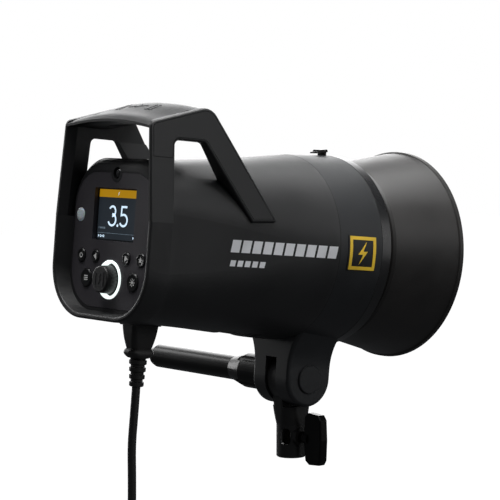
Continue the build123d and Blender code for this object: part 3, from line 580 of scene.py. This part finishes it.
def plate_mark():
    """A small raised flash sign between two bars on the handle's top plate."""
    plate = skin_of("handle_top_plate")
    down = (head(0, 0, 0) - head(0, 0, 1)).normalized()
    verts, faces = [], []

    def raised(outline):
        """A thick shape of (x, s) points that follows the plate."""
        start, count = len(verts), len(outline)
        for above in (-0.1, 0.35):
            for x, s in outline:
                spot = plate.ray_cast(head(x, s, ABOVE_U), down)[0]
                verts.append(spot - down * above * MM)
        faces.append(tuple(range(start, start + count)))
        faces.append(tuple(range(start + count, start + 2 * count)))
        for i in range(count):
            j = (i + 1) % count
            faces.append((start + i, start + j, start + count + j, start + count + i))

    raised([(-9 * u, 14 + 6 * x) for x, u in BOLT_SIGN])
    for x in (-15, -19, 15, 19):
        raised([(x - 1, 9), (x + 1, 9), (x + 1, 19), (x - 1, 19)])
    piece("plate_mark", verts, faces, "head", LOOKS["housing_plastic"])


# ---- mains lead ----------------------------------------------------------------------------------
CORD_D = 0.006
LEAD = [(0.0, 0.1414, 0.06488), (0.0, 0.1433, 0.0444), (0.0, 0.1456, 0.024), (0.0, 0.1453, 0.0),
        (0.0, 0.1456, -0.024), (0.0, 0.1477, -0.045)]
TAIL = [(0.0102, 0.1462, -0.092), (0.0110, 0.1466, -0.104), (0.01, 0.1468, -0.117)]
COIL_AT, COIL_R = Vector((0.0, 0.108, -0.076)), 0.0368
TURNS, STEPS = 12, 16


def coil_spots():
    """Where each turn starts in the bundle's section, as (outward, sideways) metres."""
    outer = [(10.0, radians(a)) for a in (90, 126, 162, 198, 234, 270, 306, 342)]
    inner = [(3.5, radians(a)) for a in (330, 210, 90)]
    last = [(10.0, radians(a)) for a in (54, 18)]
    return [(r * MM * sin(a), r * MM * cos(a)) for r, a in outer + inner + last]


def coil_points():
    spots = coil_spots()
    points = []
    for i in range(1, TURNS * STEPS):
        turn, share = i // STEPS, i % STEPS / STEPS
        (a0, b0), (a1, b1) = spots[turn], spots[turn + 1]
        reach = (COIL_R + a0 + (a1 - a0) * share) / (0.5 + 0.5 * cos(pi / STEPS))
        angle = 2 * pi * i / STEPS
        points.append((COIL_AT.x + b0 + (b1 - b0) * share, COIL_AT.y + reach * cos(angle),
                       COIL_AT.z - reach * sin(angle)))
    return points


def mains_lead():
    data = bpy.data.curves.new("mains_lead", "CURVE")
    data.dimensions = "3D"
    data.bevel_depth, data.bevel_resolution, data.resolution_u = CORD_D / 2, 5, 6
    points = LEAD + coil_points() + TAIL
    line = data.splines.new("NURBS")
    line.points.add(len(points) - 1)
    for spot, point in zip(line.points, points):
        spot.co = (*point, 1)
    line.order_u = 3
    line.use_endpoint_u = True
    data.materials.append(LOOKS["cord_rubber"])
    lead = bpy.data.objects.new("mains_lead", data)
    bpy.context.scene.collection.objects.link(lead)
    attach(lead, "head")
    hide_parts("cord_lead", "cord_coil", "cord_tail")


# ---- studio --------------------------------------------------------------------------------------
MIDDLE = (0, 0.03, 0.15)                        # what the lights are aimed at
LIGHTS = (("overhead", (-0.1, -0.25, 1.5), (1.3, 1.0), 26),     # name, place, size and watts
          ("backdrop", (1.5, -1.3, 0.5), (2.2, 1.6), 42),
          ("rear_top", (0.25, 0.5, 1.7), (0.8, 0.5), 18),
          ("panel_side", (0.6, 1.7, 0.9), (0.9, 1.1), 0.7),
          ("near_side", (-1.6, -0.1, 1.0), (0.9, 0.9), 7),
          ("left_rim", (1.9, 0.3, 0.7), (0.5, 1.4), 14),
          ("front_side", (-1.3, -1.4, 0.5), (0.4, 1.1), 2.5))
FLOOR_Z, FLOOR_HALF = -1.3, 20


def white_room():
    """A world that the camera sees as white and that lights the head faintly."""
    world = bpy.data.worlds.new("studio")
    world.use_nodes = True
    bpy.context.scene.world = world
    tree = world.node_tree
    lit, seen = tree.nodes["Background"], tree.nodes.new("ShaderNodeBackground")
    for node, colour, strength in ((lit, (0.92, 0.95, 1.0, 1), 0.07), (seen, (1, 1, 1, 1), 1.0)):
        node.inputs["Color"].default_value = colour
        node.inputs["Strength"].default_value = strength
    mix = tree.nodes.new("ShaderNodeMixShader")
    tree.links.new(tree.nodes.new("ShaderNodeLightPath").outputs["Is Camera Ray"], mix.inputs["Fac"])
    tree.links.new(lit.outputs["Background"], mix.inputs[1])
    tree.links.new(seen.outputs["Background"], mix.inputs[2])
    tree.links.new(mix.outputs["Shader"], tree.nodes["World Output"].inputs["Surface"])


def area_light(name, at, size, power):
    data = bpy.data.lights.new(name, "AREA")
    data.shape, data.size, data.size_y = "RECTANGLE", *size
    data.energy = power
    light = bpy.data.objects.new(name, data)
    light.location = at
    light.rotation_euler = (Vector(MIDDLE) - Vector(at)).to_track_quat("-Z", "Y").to_euler()
    light.visible_camera = False
    bpy.context.scene.collection.objects.link(light)


def pale_floor():
    """A wide floor that only the camera sees."""
    half = FLOOR_HALF
    verts = [(x, y, FLOOR_Z) for x, y in ((-half, -half), (half, -half), (half, half), (-half, half))]
    mesh = bpy.data.meshes.new("floor")
    mesh.from_pydata(verts, [], [(0, 1, 2, 3)])
    pale = Surface("pale_floor", (0.9, 0.9, 0.9), 0.8).vary(400, 0.01)
    pale.set(Emission_Color=(1, 1, 1, 1), Emission_Strength=1.0)
    mesh.materials.append(pale.material)
    floor = bpy.data.objects.new("floor", mesh)
    bpy.context.scene.collection.objects.link(floor)
    floor.visible_diffuse = floor.visible_glossy = floor.visible_transmission = False


def studio():
    """A white room for the camera, lit by soft boxes above, behind and at the panel's side."""
    bpy.context.scene.view_settings.view_transform = "Standard"
    white_room()
    for light in LIGHTS:
        area_light(*light)
    pale_floor()


# ---- the scene -----------------------------------------------------------------------------------
add_camera()
mains_lead()
paint_nodes()
silver_bowl()
screen()
reading()
symbols()
knob_well_painted_shade()
knob_mark()
seams()
side_print()
plate_mark()
studio()
